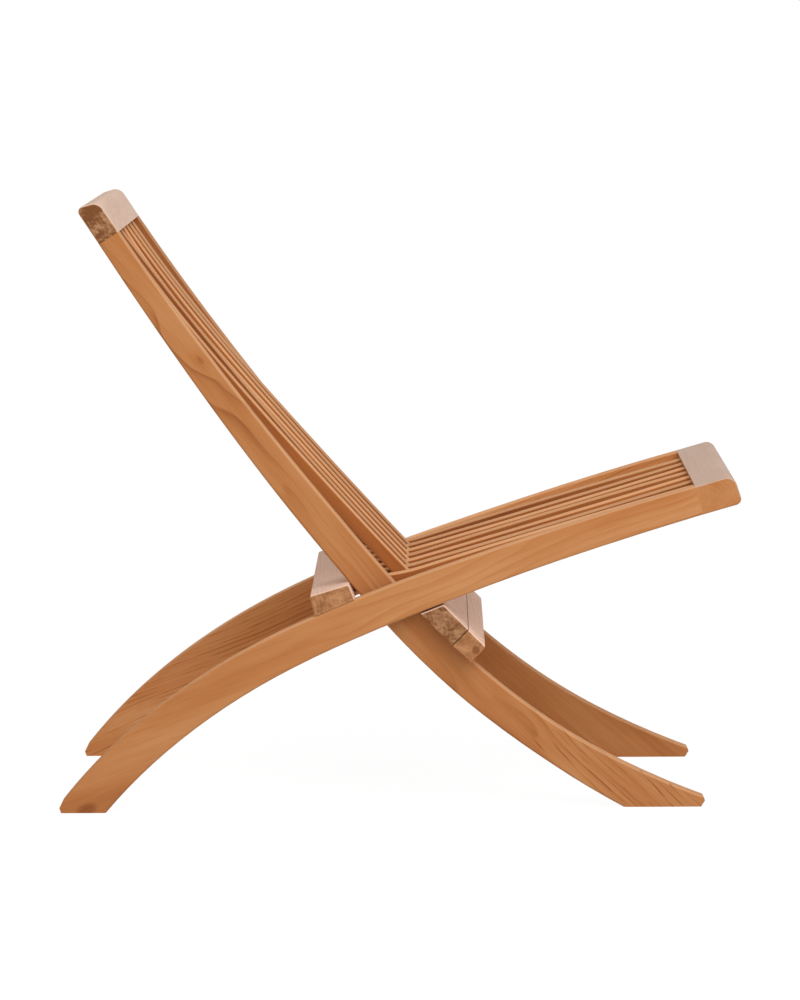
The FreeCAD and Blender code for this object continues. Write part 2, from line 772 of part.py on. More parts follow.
os.makedirs("parts", exist_ok=True)
for node in NODES:
    node.Shape.exportStep("parts/%s.step" % node.Label)
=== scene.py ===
"""Looks of a folding teak chair: its slats, its wood and fittings, a stage and a camera."""
import json
import math
from collections import namedtuple

import bmesh
import bpy
from mathutils import Euler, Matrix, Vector


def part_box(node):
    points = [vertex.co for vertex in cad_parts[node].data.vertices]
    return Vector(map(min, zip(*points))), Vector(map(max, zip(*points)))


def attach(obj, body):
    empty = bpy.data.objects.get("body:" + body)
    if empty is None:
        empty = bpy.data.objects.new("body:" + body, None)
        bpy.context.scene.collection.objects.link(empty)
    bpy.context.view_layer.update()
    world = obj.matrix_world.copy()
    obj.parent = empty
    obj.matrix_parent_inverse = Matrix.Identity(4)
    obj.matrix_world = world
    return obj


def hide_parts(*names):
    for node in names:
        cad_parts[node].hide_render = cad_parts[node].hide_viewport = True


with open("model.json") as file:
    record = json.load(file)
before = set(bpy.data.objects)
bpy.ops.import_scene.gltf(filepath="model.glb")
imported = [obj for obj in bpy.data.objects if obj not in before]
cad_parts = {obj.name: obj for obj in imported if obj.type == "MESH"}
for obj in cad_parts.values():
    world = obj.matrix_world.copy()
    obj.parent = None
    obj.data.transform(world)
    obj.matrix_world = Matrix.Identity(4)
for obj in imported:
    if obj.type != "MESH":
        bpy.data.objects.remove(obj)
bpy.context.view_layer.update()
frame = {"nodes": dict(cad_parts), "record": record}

bl_info = {
    "name": "Folding teak chair",
    "version": (1, 0, 0),
    "blender": (4, 5, 0),
    "location": "View3D > Sidebar > Chair",
    "description": "Slats, wood, fittings and stage of a folding teak chair",
    "category": "Object",
}

SEAT_SLATS = sorted(name for name in frame["nodes"] if name.startswith("seat_slat_"))
BACK_SLATS = sorted(name for name in frame["nodes"] if name.startswith("back_slat_"))
SIDES = ("right", "left")


def lane(node):
    """Middle and thickness of a slat across the chair."""
    low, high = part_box(node)
    return (low[1] + high[1]) / 2, high[1] - low[1]


SEAT_FIRST, SLAT_THICKNESS = lane(SEAT_SLATS[0])
BACK_FIRST = lane(BACK_SLATS[0])[0]
SLAT_PITCH = lane(SEAT_SLATS[1])[0] - SEAT_FIRST
PIVOT = Vector(frame["record"]["behaviour"]["joints"][0]["pos_m"])

# an edge between faces that turn by more than this, in radians, stays crisp
SHARP_TURN = 0.7


class TeakSettings(bpy.types.PropertyGroup):
    """Colours and finish of the teak, and the painted sheen of its upper edges and faces"""
    pale: bpy.props.FloatVectorProperty(
        name="Pale wood", description="Colour of the palest early wood", subtype="COLOR", size=3, min=0, max=1,
        default=(0.560, 0.262, 0.106))
    middle: bpy.props.FloatVectorProperty(
        name="Middle wood", description="Colour of most of a sanded face", subtype="COLOR", size=3, min=0, max=1,
        default=(0.462, 0.176, 0.056))
    dark: bpy.props.FloatVectorProperty(
        name="Dark wood", description="Colour of the late wood's lines", subtype="COLOR", size=3, min=0, max=1,
        default=(0.245, 0.074, 0.020))
    sawn_end: bpy.props.FloatVectorProperty(
        name="Sawn ends", description="Ground colour of sawn ends", subtype="COLOR", size=3, min=0, max=1,
        default=(0.440, 0.225, 0.108))
    end: bpy.props.FloatVectorProperty(
        name="End grain", description="Colour that sawn ends darken to", subtype="COLOR", size=3, min=0, max=1,
        default=(0.200, 0.074, 0.027))
    # painted sheen: paler colours that upper edges and faces get in place of the white light that they reflect
    edge_sheen: bpy.props.FloatVectorProperty(
        name="Edge sheen", description="Colour of the upper edges of rails and slats", subtype="COLOR", size=3,
        min=0, max=1, default=(0.720, 0.395, 0.200))
    face_sheen: bpy.props.FloatVectorProperty(
        name="Face sheen", description="Colour of the upper faces of the cross pieces", subtype="COLOR", size=3,
        min=0, max=1, default=(0.700, 0.520, 0.420))
    roughness: bpy.props.FloatProperty(
        name="Roughness", description="Roughness of the sanded faces", subtype="FACTOR", default=0.78, min=0, max=1)


class SlatSettings(bpy.types.PropertyGroup):
    """Section of the slats, and the lines that they follow"""
    depth: bpy.props.FloatProperty(
        name="Depth", description="Height of a slat on edge", unit="LENGTH", default=0.017)
    rounding: bpy.props.FloatProperty(
        name="Rounding", description="Radius of a slat's long arrises", unit="LENGTH", default=0.0025)
    step: bpy.props.FloatProperty(
        name="Step", description="Distance between the rings of a slat's mesh", unit="LENGTH", default=0.008)
    slant_reach: bpy.props.FloatProperty(
        name="Slant reach", description="Length of a slat's end that its slanting cut may move", unit="LENGTH",
        default=0.03)
    seat_rear: bpy.props.FloatVectorProperty(
        name="Seat rear end", description="From the pivot to a seat slat's end at the rear block", unit="LENGTH",
        size=3, default=(-0.05029, 0, 0.02588))
    seat_bend: bpy.props.FloatVectorProperty(
        name="Seat bend", description="From the pivot to the corner that a seat slat bends round", unit="LENGTH",
        size=3, default=(0.01750, 0, 0.03370))
    seat_front: bpy.props.FloatVectorProperty(
        name="Seat front end", description="From the pivot to a seat slat's end at the nose", unit="LENGTH",
        size=3, default=(0.38248, 0, 0.14157))
    seat_bend_length: bpy.props.FloatProperty(
        name="Seat bend length", description="Length of the bend each side of its corner", unit="LENGTH",
        default=0.021)
    seat_bows: bpy.props.FloatVectorProperty(
        name="Seat bows", description="Rise of three slats in turn", unit="LENGTH", size=3,
        default=(0.0012, -0.0006, -0.0006))
    back_top: bpy.props.FloatVectorProperty(
        name="Back top end", description="From the pivot to a back slat's end at the cap", unit="LENGTH",
        size=3, default=(-0.33813, 0, 0.46264))
    back_knot: bpy.props.FloatVectorProperty(
        name="Back knot", description="From the pivot to the place that every back slat passes", unit="LENGTH",
        size=3, default=(-0.10950, 0, 0.17920))
    back_foot: bpy.props.FloatVectorProperty(
        name="Back foot end", description="From the pivot to a back slat's end at the upper plank", unit="LENGTH",
        size=3, default=(0.05923, 0, -0.00323))
    back_hollow: bpy.props.FloatVectorProperty(
        name="Back hollow", description="How far the handles above and below the knot stand back", unit="LENGTH",
        size=4, default=(0.0105, 0.00595, 0.00147, 0.0019))
    back_bows: bpy.props.FloatVectorProperty(
        name="Back bows", description="Rise of three slats in turn", unit="LENGTH", size=3,
        default=(0.0, 0.0024, -0.0018))
    back_skew: bpy.props.FloatProperty(
        name="Back skew", description="How far the bows lean towards the cap; 0 is even", default=5.6)
    back_fade: bpy.props.FloatProperty(
        name="Back fade", description="What is left of the bows three slats further", default=0.17)


class EndSettings(bpy.types.PropertyGroup):
    """Roundings of the nose and the cap"""
    nose_top: bpy.props.FloatProperty(
        name="Nose top", description="Rounding of the nose's upper front corner", unit="LENGTH", default=0.0115)
    nose_low: bpy.props.FloatProperty(
        name="Nose low", description="Rounding of the nose's lower front corner", unit="LENGTH", default=0.0085)
    cap_top: bpy.props.FloatProperty(
        name="Cap top", description="Rounding of the cap's two upper corners", unit="LENGTH", default=0.0100)
    nose_arris: bpy.props.FloatProperty(
        name="Nose arris", description="Rounding round the nose's two ends", unit="LENGTH", default=0.0022)
    cap_arris: bpy.props.FloatProperty(
        name="Cap arris", description="Rounding round the cap's two ends", unit="LENGTH", default=0.0035)


class FittingSettings(bpy.types.PropertyGroup):
    """Finish of the pivot's metal parts"""
    steel: bpy.props.FloatVectorProperty(
        name="Steel", description="Colour of the bolts and washers", subtype="COLOR", size=3, min=0, max=1,
        default=(0.60, 0.60, 0.60))
    steel_roughness: bpy.props.FloatProperty(
        name="Steel roughness", description="Mean roughness of the steel", subtype="FACTOR", default=0.32,
        min=0, max=1)
    brass: bpy.props.FloatVectorProperty(
        name="Brass", description="Colour of the inserts and sleeves", subtype="COLOR", size=3, min=0, max=1,
        default=(0.78, 0.60, 0.30))
    brass_roughness: bpy.props.FloatProperty(
        name="Brass roughness", description="Mean roughness of the brass", subtype="FACTOR", default=0.35,
        min=0, max=1)


class StageSettings(bpy.types.PropertyGroup):
    """Floor, light and camera"""
    floor_colour: bpy.props.FloatVectorProperty(
        name="Floor", description="Colour of the floor", subtype="COLOR", size=3, min=0, max=1,
        default=(0.86, 0.86, 0.86))
    floor_size: bpy.props.FloatProperty(
        name="Floor size", description="Side of the floor", unit="LENGTH", default=40)
    floor_white: bpy.props.FloatProperty(
        name="Floor white", description="Strength of the floor's white where it is seen directly", default=1.05)
    floor_share: bpy.props.FloatProperty(
        name="Floor share", description="Share of that white; the rest shows the shadow", subtype="FACTOR",
        default=0.9, min=0, max=1)
    world_light: bpy.props.FloatProperty(
        name="World light", description="Strength of the light from all round", default=0.64)
    lamp_power: bpy.props.FloatProperty(
        name="Lamp power", description="Power of the large lamp", unit="POWER", default=94)
    lamp_size: bpy.props.FloatProperty(
        name="Lamp size", description="Side of the large lamp", unit="LENGTH", default=3.0)
    lamp_place: bpy.props.FloatVectorProperty(
        name="Lamp place", description="Where the large lamp hangs", unit="LENGTH", size=3, default=(0.8, -2.9, 2.7))
    lamp_aim: bpy.props.FloatVectorProperty(
        name="Lamp aim", description="Where the large lamp points", unit="LENGTH", size=3, default=(0, 0, 0.35))
    camera_place: bpy.props.FloatVectorProperty(
        name="Camera place", description="Where the camera stands", unit="LENGTH", size=3,
        default=(0.04609, -6.5257, 1.0328))
    camera_turn: bpy.props.FloatVectorProperty(
        name="Camera turn", description="Turn of the camera", subtype="EULER", unit="ROTATION", size=3,
        default=(math.radians(84.1687), math.radians(0.3178), math.radians(0.3703)))
    lens: bpy.props.FloatProperty(
        name="Lens", description="Focal length for a frame 36 mm wide", unit="CAMERA", default=228.6)


SETTINGS = {"folding_chair_teak": TeakSettings, "folding_chair_slats": SlatSettings,
            "folding_chair_ends": EndSettings, "folding_chair_fittings": FittingSettings,
            "folding_chair_stage": StageSettings}


# node helpers

def put(tree, value, socket):
    """Links a socket to an input, or sets the input to a value."""
    if isinstance(value, bpy.types.NodeSocket):
        tree.links.new(value, socket)
    else:
        socket.default_value = value


def node(tree, kind, inputs=(), **settings):
    """A node with its settings. Each input is a value or another node's socket."""
    made = tree.nodes.new(kind)
    for name, value in settings.items():
        setattr(made, name, value)
    for key, value in dict(inputs).items():
        put(tree, value, made.inputs[key])
    return made


def maths(tree, operation, *values, clamp=False):
    """The result of a maths node."""
    return node(tree, "ShaderNodeMath", enumerate(values), operation=operation, use_clamp=clamp).outputs[0]


def vectors(tree, operation, *values):
    """The result of a vector maths node."""
    made = node(tree, "ShaderNodeVectorMath", operation=operation)
    for socket, value in zip([socket for socket in made.inputs if socket.enabled], values):
        put(tree, value, socket)
    return next(socket for socket in made.outputs if socket.enabled)


def ramp(tree, value, low=0.0, high=1.0, start=0.0, end=1.0, kind="LINEAR"):
    """A value that goes from start to end as the given one goes from low to high."""
    return node(tree, "ShaderNodeMapRange", {0: value, 1: low, 2: high, 3: start, 4: end},
                interpolation_type=kind).outputs[0]


def parts(tree, vector):
    """The x, y and z of a vector."""
    return node(tree, "ShaderNodeSeparateXYZ", {0: vector}).outputs


def whole(tree, **numbers):
    """A vector of the numbers given as X, Y and Z."""
    return node(tree, "ShaderNodeCombineXYZ", numbers).outputs[0]


def asks(tree, name, kind, default=None):
    """Gives a tree a named input."""
    socket = tree.interface.new_socket(name=name, in_out="INPUT", socket_type="NodeSocket" + kind)
    if default is not None:
        socket.default_value = default


def emptied(owner):
    """The node tree of a material or world, cleared."""
    owner.use_nodes = True
    owner.node_tree.nodes.clear()
    return owner.node_tree


def finished(tree, shader, kind="Material"):
    """Links a shader to its tree's output."""
    tree.links.new(shader.outputs[0], tree.nodes.new("ShaderNodeOutput" + kind).inputs[0])


# slats

SLATS_IN_TURN = 3       # the bows come round again after so many slats
ARRIS_POINTS = 5        # points round a slat's arris
LINE_POINTS = 24        # points of a line between two knots


def slat_tree():
    """Slats side by side, each swept along the host's line, bowed a little, their ends cut at a slant."""
    tree = bpy.data.node_groups.new("chair_slats", "GeometryNodeTree")
    asks(tree, "Line", "Geometry")
    asks(tree, "Slats", "Int", 6)
    for name in ("First", "Pitch", "Thickness", "Depth", "Rounding", "Step", "Fade", "Bow start", "Bow end",
                 "Bow skew", "Start slant", "End slant", "Slant reach"):
        asks(tree, name, "Float", 0.0)
    asks(tree, "Bows", "Vector")
    asks(tree, "Seed", "Int", 0)
    asks(tree, "Wood", "Material")
    tree.interface.new_socket(name="Slats", in_out="OUTPUT", socket_type="NodeSocketGeometry")
    given = tree.nodes.new("NodeGroupInput").outputs

    # one line for each slat
    copies = node(tree, "GeometryNodeDuplicateElements", {"Geometry": given["Line"], "Amount": given["Slats"]},
                  domain="SPLINE")
    number = copies.outputs["Duplicate Index"]
    fine = node(tree, "GeometryNodeResampleCurve", {"Curve": copies.outputs[0], "Length": given["Step"]},
                mode="LENGTH")

    # how far each slat bows, in turn and fading
    bows = parts(tree, given["Bows"])
    pick = node(tree, "GeometryNodeIndexSwitch", data_type="FLOAT")
    pick.index_switch_items.new()
    tree.links.new(maths(tree, "MODULO", number, SLATS_IN_TURN), pick.inputs["Index"])
    for i in range(SLATS_IN_TURN):
        tree.links.new(bows[i], pick.inputs[i + 1])
    turn = maths(tree, "FLOOR", maths(tree, "DIVIDE", number, SLATS_IN_TURN))
    bow = maths(tree, "MULTIPLY", pick.outputs[0], maths(tree, "POWER", given["Fade"], turn))

    # the bow's arch, 0 at its two ends and about 1 at its top, leaning by the skew
    way = node(tree, "GeometryNodeSplineParameter").outputs
    along = ramp(tree, way["Factor"], given["Bow start"], given["Bow end"])
    arch = maths(tree, "MULTIPLY", along, maths(tree, "SUBTRACT", 1.0, along))
    skew = maths(tree, "SUBTRACT", maths(tree, "ADD", 4.0, maths(tree, "MULTIPLY", given["Bow skew"], 0.5)),
                 maths(tree, "MULTIPLY", given["Bow skew"], along))
    rise = maths(tree, "MULTIPLY", bow, maths(tree, "MULTIPLY", arch, skew))

    # each slat goes to its lane, and rises square to its line
    tangent = node(tree, "GeometryNodeInputTangent").outputs[0]
    split = parts(tree, tangent)
    outward = whole(tree, X=maths(tree, "MULTIPLY", split[2], -1.0), Z=split[0])
    across = whole(tree, Y=maths(tree, "ADD", given["First"], maths(tree, "MULTIPLY", number, given["Pitch"])))
    shift = vectors(tree, "ADD", vectors(tree, "SCALE", outward, rise), across)
    placed = node(tree, "GeometryNodeSetPosition", {"Geometry": fine.outputs[0], "Offset": shift})
    upright = node(tree, "GeometryNodeSetCurveNormal", {"Curve": placed.outputs[0]}, mode="Z_UP")

    # the tangent, the distances from both ends and the slat's number, kept for the swept mesh
    length = node(tree, "GeometryNodeSplineLength").outputs["Length"]
    kept = node(tree, "GeometryNodeCaptureAttribute", {"Geometry": upright.outputs[0]})
    for i, (kind, source) in enumerate((("VECTOR", tangent), ("FLOAT", way["Length"]),
                                        ("FLOAT", maths(tree, "SUBTRACT", length, way["Length"])),
                                        ("FLOAT", number))):
        kept.capture_items.new(kind, "kept")
        tree.links.new(source, kept.inputs[i + 1])
    line, direction, from_start, from_end, which = kept.outputs[:5]

    # the section hangs from the line, and keeps how far below it each point is
    board = node(tree, "GeometryNodeCurvePrimitiveQuadrilateral",
                 {"Width": given["Thickness"], "Height": given["Depth"]}, mode="RECTANGLE")
    soft = node(tree, "GeometryNodeFilletCurve",
                {"Curve": board.outputs[0], "Count": ARRIS_POINTS, "Radius": given["Rounding"],
                 "Limit Radius": True}, mode="POLY")
    hung = node(tree, "GeometryNodeTransform", {
        "Geometry": soft.outputs[0], "Translation": whole(tree, Y=maths(tree, "MULTIPLY", given["Depth"], 0.5))})
    section = node(tree, "GeometryNodeCaptureAttribute", {"Geometry": hung.outputs[0]})
    section.capture_items.new("FLOAT", "below")
    tree.links.new(parts(tree, node(tree, "GeometryNodeInputPosition").outputs[0])[1], section.inputs[1])
    outline, below = section.outputs[:2]

    # the sweep, and the slanting cuts at its two ends
    sweep = node(tree, "GeometryNodeCurveToMesh", {"Curve": line, "Profile Curve": outline, "Fill Caps": True})
    slants = []
    for distance, slant in ((from_start, given["Start slant"]), (from_end, given["End slant"])):
        near = maths(tree, "SUBTRACT", 1.0, maths(tree, "DIVIDE", distance, given["Slant reach"]), clamp=True)
        slants.append(maths(tree, "MULTIPLY", near, slant))
    cut = maths(tree, "MULTIPLY", below, maths(tree, "ADD", *slants))
    ends = node(tree, "GeometryNodeSetPosition", {
        "Geometry": sweep.outputs[0], "Offset": vectors(tree, "SCALE", direction, cut)})

    # smooth faces, crisp edges, a number from 0 to 1 for each slat's shade, and the wood
    corner = maths(tree, "GREATER_THAN", node(tree, "GeometryNodeInputMeshEdgeAngle").outputs[0], SHARP_TURN)
    smooth = node(tree, "GeometryNodeSetShadeSmooth", {"Geometry": ends.outputs[0]}, domain="FACE")
    crisp = node(tree, "GeometryNodeSetShadeSmooth", {
        "Geometry": smooth.outputs[0], "Selection": corner, "Shade Smooth": False}, domain="EDGE")
    chance = node(tree, "FunctionNodeRandomValue", {"ID": which, "Seed": given["Seed"]}, data_type="FLOAT")
    named = node(tree, "GeometryNodeStoreNamedAttribute", {
        "Geometry": crisp.outputs[0], "Name": "slat", "Value": chance.outputs[1]},
        data_type="FLOAT", domain="POINT")
    real = node(tree, "GeometryNodeRealizeInstances", {0: named.outputs[0]})
    clad = node(tree, "GeometryNodeSetMaterial", {"Geometry": real.outputs[0], "Material": given["Wood"]})
    tree.links.new(clad.outputs[0], tree.nodes.new("NodeGroupOutput").inputs[0])
    return tree


def shown(name, data):
    """A new object in the scene."""
    made = bpy.data.objects.new(name, data)
    bpy.context.scene.collection.objects.link(made)
    return made


def line_curve(name, knots, handles):
    """A Bezier line through the knots, with two handles between each knot and the next."""
    curve = bpy.data.curves.new(name, "CURVE")
    curve.dimensions = "3D"
    curve.resolution_u = LINE_POINTS
    points = curve.splines.new("BEZIER").bezier_points
    points.add(len(knots) - 1)
    for i, (point, knot) in enumerate(zip(points, knots)):
        point.handle_left_type = point.handle_right_type = "FREE"
        point.co = knot
        point.handle_left = handles[2 * i - 1] if i else knot
        point.handle_right = handles[2 * i] if i < len(knots) - 1 else knot
    return shown(name, curve)


def made_mesh(host, name):
    """The host's evaluated shape as a plain mesh piece; the host goes."""
    bpy.context.view_layer.update()
    graph = bpy.context.evaluated_depsgraph_get()
    mesh = bpy.data.meshes.new_from_object(host.evaluated_get(graph), preserve_all_data_layers=True,
                                           depsgraph=graph)
    mesh.name = name
    bpy.data.objects.remove(host)
    return shown(name, mesh)


def evened(piece, name):
    """The piece with normals that follow its large faces."""
    even = piece.modifiers.new("Even", "WEIGHTED_NORMAL")
    even.keep_sharp = True
    return made_mesh(piece, name)


def slats(name, host, values, nodes, body):
    """Sweeps the slats of one body and puts them in the place of their plain nodes."""
    sweep = host.modifiers.new("Slats", "NODES")
    sweep.node_group = bpy.data.node_groups.get("chair_slats") or slat_tree()
    for socket in sweep.node_group.interface.items_tree:
        if socket.in_out == "INPUT" and socket.name in values:
            sweep[socket.identifier] = values[socket.name]
    shaded = evened(made_mesh(host, name), name)
    if not len(shaded.data.polygons):
        raise RuntimeError(name + " came out empty")
    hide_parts(*nodes)
    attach(shaded, body)


# nose and cap

# corners of each bar, x and z from the pivot; the first two meet the rails
NOSE = ((0.39102, 0.11177), (0.38105, 0.14656), (0.42891, 0.16029), (0.44024, 0.12588))
CAP = ((-0.35819, 0.44946), (-0.33379, 0.46549), (-0.35849, 0.50311), (-0.38756, 0.49419))
CORNER_FACES = 12       # faces round a bar's corner
ARRIS_FACES = 4         # faces round the arris of a bar's end
SAME_PLACE = 1e-6       # points nearer than this, in metres, are one


def rounded_bar(name, outline, rounds, arris, side):
    """A bar across the chair with rounded corners and ends; its first two corners stay crisp."""
    shape = bmesh.new()
    near = [shape.verts.new((PIVOT.x + x, -side, PIVOT.z + z)) for x, z in outline]
    far = [shape.verts.new((PIVOT.x + x, side, PIVOT.z + z)) for x, z in outline]
    shape.faces.new(near)
    shape.faces.new(far[::-1])
    for i in range(len(outline)):
        j = (i + 1) % len(outline)
        shape.faces.new((near[i], far[i], far[j], near[j]))
    joint = {near[0], near[1], far[0], far[1]}
    corners = [shape.edges.get(pair) for pair in zip(near[2:], far[2:])]
    for edge, reach in zip(corners, rounds):
        bmesh.ops.bevel(shape, geom=[edge], offset=reach, offset_type="OFFSET", segments=CORNER_FACES,
                        profile=0.5, affect="EDGES")
    ends = [edge for edge in shape.edges
            if abs(edge.verts[0].co.y - edge.verts[1].co.y) < SAME_PLACE and not set(edge.verts) <= joint]
    bmesh.ops.bevel(shape, geom=ends, offset=arris, offset_type="OFFSET", segments=ARRIS_FACES, profile=0.5,
                    affect="EDGES")
    bmesh.ops.remove_doubles(shape, verts=shape.verts, dist=SAME_PLACE)
    bmesh.ops.recalc_face_normals(shape, faces=shape.faces)
    for face in shape.faces:
        face.smooth = True
    for edge in shape.edges:
        edge.smooth = edge.calc_face_angle(0) < SHARP_TURN
    mesh = bpy.data.meshes.new(name)
    shape.to_mesh(mesh)
    shape.free()
    return evened(shown(name, mesh), name)


# wood

Noise = namedtuple("Noise", "stretch detail roughness seed reach", defaults=(1.0,))

# stretch is how often a noise changes in a metre along and across the board, reach how far it moves what it joins
NOISES = {
    "sway": Noise((1.7, 7.0, 7.0), 2.0, 0.5, 0.0, 0.034),
    "ripple": Noise((12.0, 70.0, 70.0), 2.0, 0.5, 3.0, 0.0032),
    "wander": Noise((5.0, 21.0, 21.0), 1.5, 0.5, 23.0),
    "clear": Noise((2.2, 14.0, 14.0), 1.0, 0.5, 7.0),
    "dashes": Noise((16.0, 150.0, 150.0), 2.0, 0.6, 29.0),
    "band": Noise((3.4, 17.0, 17.0), 2.0, 0.5, 13.0, 1.10),
    "cloud": Noise((4.5, 34.0, 34.0), 3.0, 0.5, 5.0, 0.62),
    "fibre": Noise((10.0, 380.0, 380.0), 3.0, 0.6, 1.0, 0.42),
    "pores": Noise((30.0, 1000.0, 1000.0), 1.0, 0.5, 9.0),
    "stripe": Noise((2.0, 30.0, 30.0), 2.0, 0.5, 17.0, 0.5),
    "blot": Noise((200.0, 130.0, 210.0), 5.0, 0.7, 11.0, 2.2),
    "patch": Noise((60.0, 45.0, 50.0), 2.0, 0.5, 19.0, 2.0),
}

# distances from a knot, in knot sizes, where its dark core and the rings' bend round it begin and are full
CORE = (1.15, 0.35)
HALO = (5.0, 0.6)
KNOT_PULL = 2.2                     # how far the rings bend, in knot sizes
KNOT_STRETCH = (0.55, 1.0, 1.0)     # a knot is longer along the grain
LEAST_KNOT = 0.0001                 # the size that a board without a knot is given
HALO_FIGURE = 0.12                  # how much clearer the figure is round a knot

LATE_WOOD = 2.4                     # how late in a ring its dark line gathers
RING_END = (0.90, 1.0)              # where in a ring the line ends
VEINS_IN_RING = 2.0
VEIN_RISE, VEIN_FALL = (0.72, 0.84), (0.99, 0.91)   # where in its share of a ring a vein begins and ends
VEINS_COME = 0.1                    # metres over which the veins take over from the broad figure

# how strong a noise must be to count a little, and in full; the figure never quite fades
CLEAR, FAINT = (0.42, 0.66), 0.10
DASHES = (0.42, 0.62)
PORES = (0.60, 0.74)

LINE_DEPTH, PORE_DEPTH = 0.85, 0.10     # what a ring's line and a pore add to the depth
TO_MIDDLE = 2.4                         # how fast the pale colour turns to the middle one with depth
DARK_FROM, TO_DARK = 0.42, 1.7          # the depth where the dark colour begins, and how fast it comes
FIGURE_KEPT = 0.42                      # what the faces with a painted sheen keep of the depth
END_STAIN = 0.30                        # the stain of a sawn end without its blots
END_GROUND = 0.7                        # how much of a sawn end's ground colour shows
SEAM_SHADE = 0.86                       # how much light a seam loses
WHOLE_TURN = 6.2832


def teak_group():
    """Figure of sawn teak in board coordinates: x along the grain, metres."""
    tree = bpy.data.node_groups.new("sawn_teak", "ShaderNodeTree")
    for name in ("Board", "Pith", "Pith tilt", "Knot", "Marks", "Tone", "Bend"):
        asks(tree, name, "Vector")
    for name, default in (
            ("Ring width", 0.006), ("Figure", 0.5), ("Depth", 0.3), ("Knot size", 0.0), ("Knot depth", 0.4),
            ("Mark depth", 0.0), ("End", 0.0), ("End depth", 1.0), ("Upper", 0.0), ("Seam", 0.0),
            ("Wander", 0.0), ("Veins", 0.0), ("Vein start", 0.0), ("Roughness", 0.5)):
        asks(tree, name, "Float", default)
    for name in ("Pale", "Middle", "Dark", "End ground", "End colour", "Upper colour"):
        asks(tree, name, "Color")
    for name, kind in (("Colour", "Color"), ("Roughness", "Float"), ("Height", "Float")):
        tree.interface.new_socket(name=name, in_out="OUTPUT", socket_type="NodeSocket" + kind)
    given = tree.nodes.new("NodeGroupInput").outputs

    def times(first, second, clamp=False):
        return maths(tree, "MULTIPLY", first, second, clamp=clamp)

    def minus(first, second, clamp=False):
        return maths(tree, "SUBTRACT", first, second, clamp=clamp)

    def total(*values):
        result = values[0]
        for value in values[1:]:
            result = maths(tree, "ADD", result, value)
        return result

    def eased(value, low, high, start=0.0, end=1.0):
        return ramp(tree, value, low, high, start, end, "SMOOTHSTEP")

    def noise(name):
        """A noise from 0 to 1."""
        made = NOISES[name]
        return node(tree, "ShaderNodeTexNoise", {
            "Vector": vectors(tree, "MULTIPLY", board, made.stretch), "Scale": 1.0, "Detail": made.detail,
            "Roughness": made.roughness, "W": made.seed}, noise_dimensions="4D").outputs[0]

    def centred(name):
        """A noise about 0, times its reach."""
        return times(minus(noise(name), 0.5), NOISES[name].reach)

    def mixed(factor, first, second):
        made = node(tree, "ShaderNodeMix", data_type="RGBA")
        sockets = {socket.name: socket for socket in made.inputs if socket.enabled}
        for key, value in (("Factor", factor), ("A", first), ("B", second)):
            tree.links.new(value, sockets[key])
        return next(socket for socket in made.outputs if socket.enabled)

    # the grain bends away from the board's line past a place
    run = parts(tree, given["Board"])[0]
    bend = parts(tree, given["Bend"])
    past = maths(tree, "MAXIMUM", minus(run, bend[0]), 0.0)
    board = vectors(tree, "SUBTRACT", given["Board"], whole(tree, Z=times(times(past, past), bend[1])))

    # a knot: a dark core, with the rings drawn round it
    off_knot = vectors(tree, "MULTIPLY", vectors(tree, "SUBTRACT", board, given["Knot"]), KNOT_STRETCH)
    knot_reach = maths(tree, "DIVIDE", vectors(tree, "LENGTH", off_knot),
                       maths(tree, "MAXIMUM", given["Knot size"], LEAST_KNOT))
    core = eased(knot_reach, *CORE)
    halo = eased(knot_reach, *HALO)
    pull = times(halo, times(given["Knot size"], KNOT_PULL))

    # where the veins take over, the broad figure is calm
    there = times(eased(minus(run, given["Vein start"]), 0.0, VEINS_COME), given["Veins"])
    calm = minus(1.0, there, clamp=True)

    # growth rings round the pith, each ending in a dark line
    lean = vectors(tree, "SCALE", given["Pith tilt"], run)
    off = vectors(tree, "SUBTRACT", vectors(tree, "SUBTRACT", board, given["Pith"]), lean)
    radius = vectors(tree, "LENGTH", vectors(tree, "MULTIPLY", off, (0.0, 1.0, 1.0)))
    wander = times(centred("wander"), times(given["Wander"], calm))
    rings = maths(tree, "DIVIDE", total(radius, centred("sway"), centred("ripple"), pull, wander),
                  given["Ring width"])
    phase = maths(tree, "FRACT", rings)
    line = times(maths(tree, "POWER", phase, LATE_WOOD), ramp(tree, phase, *RING_END, 1.0, 0.0))
    clear = total(eased(noise("clear"), *CLEAR, FAINT, 1.0), times(halo, HALO_FIGURE))
    line = times(times(line, times(clear, given["Figure"]), clamp=True), calm)

    # veins: thin broken lines along the rings
    half = maths(tree, "FRACT", times(rings, VEINS_IN_RING))
    thin = times(eased(half, *VEIN_RISE), eased(half, *VEIN_FALL))
    vein = times(times(thin, eased(noise("dashes"), *DASHES)), there)

    # depth of the board's colour: broad bands, soft clouds, fibres, pores and saw marks
    fibre = centred("fibre")
    pores = eased(noise("pores"), *PORES)
    stripes = maths(tree, "SINE", times(
        total(vectors(tree, "DOT_PRODUCT", board, given["Marks"]), centred("stripe")), WHOLE_TURN))
    marks = times(stripes, given["Mark depth"])
    dark = total(given["Depth"], centred("band"), centred("cloud"), fibre, times(pores, PORE_DEPTH), marks,
                 times(line, LINE_DEPTH), vein, times(core, given["Knot depth"]))
    paler = times(dark, TO_MIDDLE, clamp=True)
    deeper = times(minus(dark, DARK_FROM), TO_DARK, clamp=True)
    plain = mixed(deeper, mixed(paler, given["Pale"], given["Middle"]), given["Dark"])

    # upper faces get a painted sheen, a paler colour for the light that they reflect, and keep a little of the figure
    soft = minus(1.0, times(dark, FIGURE_KEPT), clamp=True)
    with_sheen = mixed(times(given["Upper"], soft, clamp=True), plain, given["Upper colour"])

